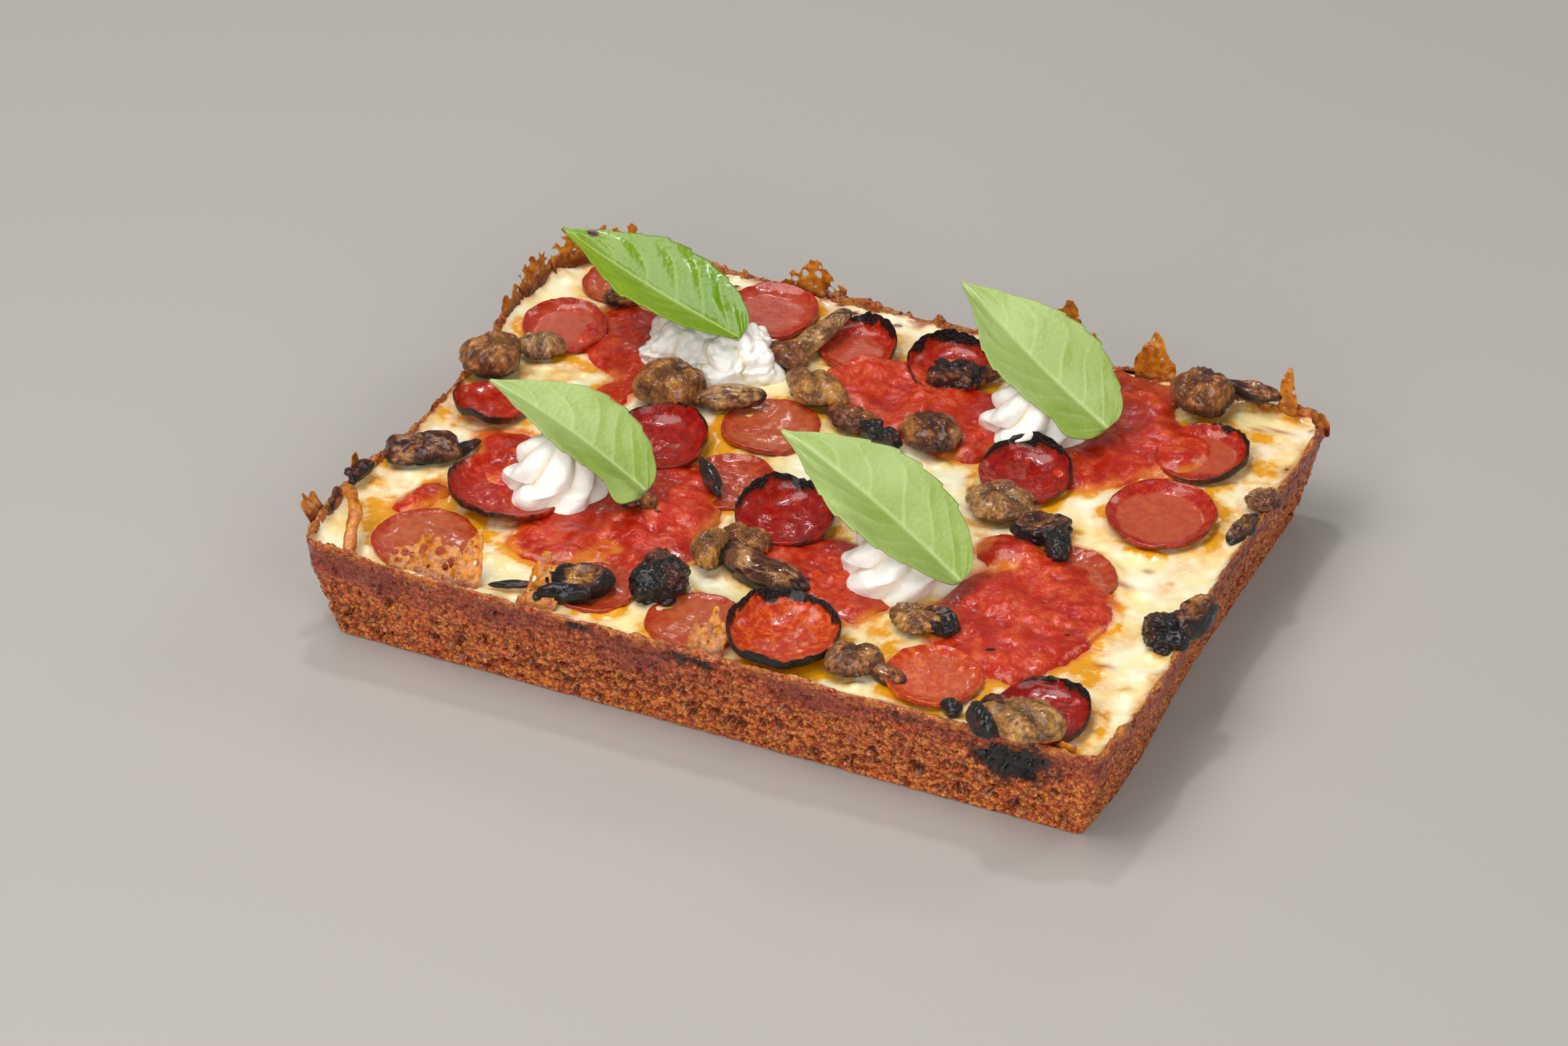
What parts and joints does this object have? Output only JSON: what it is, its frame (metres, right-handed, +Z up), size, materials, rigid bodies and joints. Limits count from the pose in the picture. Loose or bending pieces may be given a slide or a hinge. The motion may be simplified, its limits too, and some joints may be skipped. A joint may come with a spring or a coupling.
{
  "type": "detroit-style pizza",
  "caption": "Whole small rectangular pan pizza with a deep crisp crust, lacy cheese edge, cup pepperoni, mushrooms, tomato sauce, ricotta swirls and basil leaves.",
  "frame": {"origin": "centre of the base, on the surface that the pizza rests on", "axes": "+Z up, +X along the long side, -Y towards the near long side"},
  "size_m": [0.2601, 0.1947, 0.0607],
  "materials": {
    "crust": "coarse fried crumb, browned cheese at the rim",
    "cheese": "melted, oily",
    "pepperoni": "oily, charred at the raised edges",
    "mushroom": "roasted, half dry",
    "sauce": "wet, coarse tomato",
    "ricotta": "moist, smooth",
    "basil": "fresh leaf, satin"
  },
  "bodies": {
    "root": {"crust": "crust", "cheese": "cheese", "pepperoni_01": "pepperoni", "pepperoni_02": "pepperoni", "pepperoni_03": "pepperoni", "pepperoni_04": "pepperoni", "pepperoni_05": "pepperoni", "pepperoni_06": "pepperoni", "pepperoni_07": "pepperoni", "pepperoni_08": "pepperoni", "pepperoni_09": "pepperoni", "pepperoni_10": "pepperoni", "pepperoni_11": "pepperoni", "pepperoni_12": "pepperoni", "pepperoni_13": "pepperoni", "pepperoni_14": "pepperoni", "pepperoni_15": "pepperoni", "pepperoni_16": "pepperoni", "pepperoni_17": "pepperoni", "pepperoni_18": "pepperoni", "pepperoni_19": "pepperoni", "pepperoni_20": "pepperoni", "pepperoni_21": "pepperoni", "pepperoni_22": "pepperoni", "mushroom_01": "mushroom", "mushroom_02": "mushroom", "mushroom_03": "mushroom", "mushroom_04": "mushroom", "mushroom_05": "mushroom", "mushroom_06": "mushroom", "mushroom_07": "mushroom", "mushroom_08": "mushroom", "mushroom_09": "mushroom", "mushroom_10": "mushroom", "mushroom_11": "mushroom", "mushroom_12": "mushroom", "mushroom_13": "mushroom", "mushroom_14": "mushroom", "mushroom_15": "mushroom", "mushroom_16": "mushroom", "mushroom_17": "mushroom", "mushroom_18": "mushroom", "mushroom_19": "mushroom", "mushroom_20": "mushroom", "mushroom_21": "mushroom", "mushroom_22": "mushroom", "basil_01": "basil", "basil_02": "basil", "basil_03": "basil", "basil_04": "basil", "ricotta_01": "ricotta", "ricotta_02": "ricotta", "ricotta_03": "ricotta", "ricotta_04": "ricotta", "sauce_01": "sauce", "sauce_02": "sauce", "sauce_03": "sauce", "sauce_04": "sauce", "sauce_05": "sauce", "sauce_06": "sauce"}
  },
  "joints": []
}
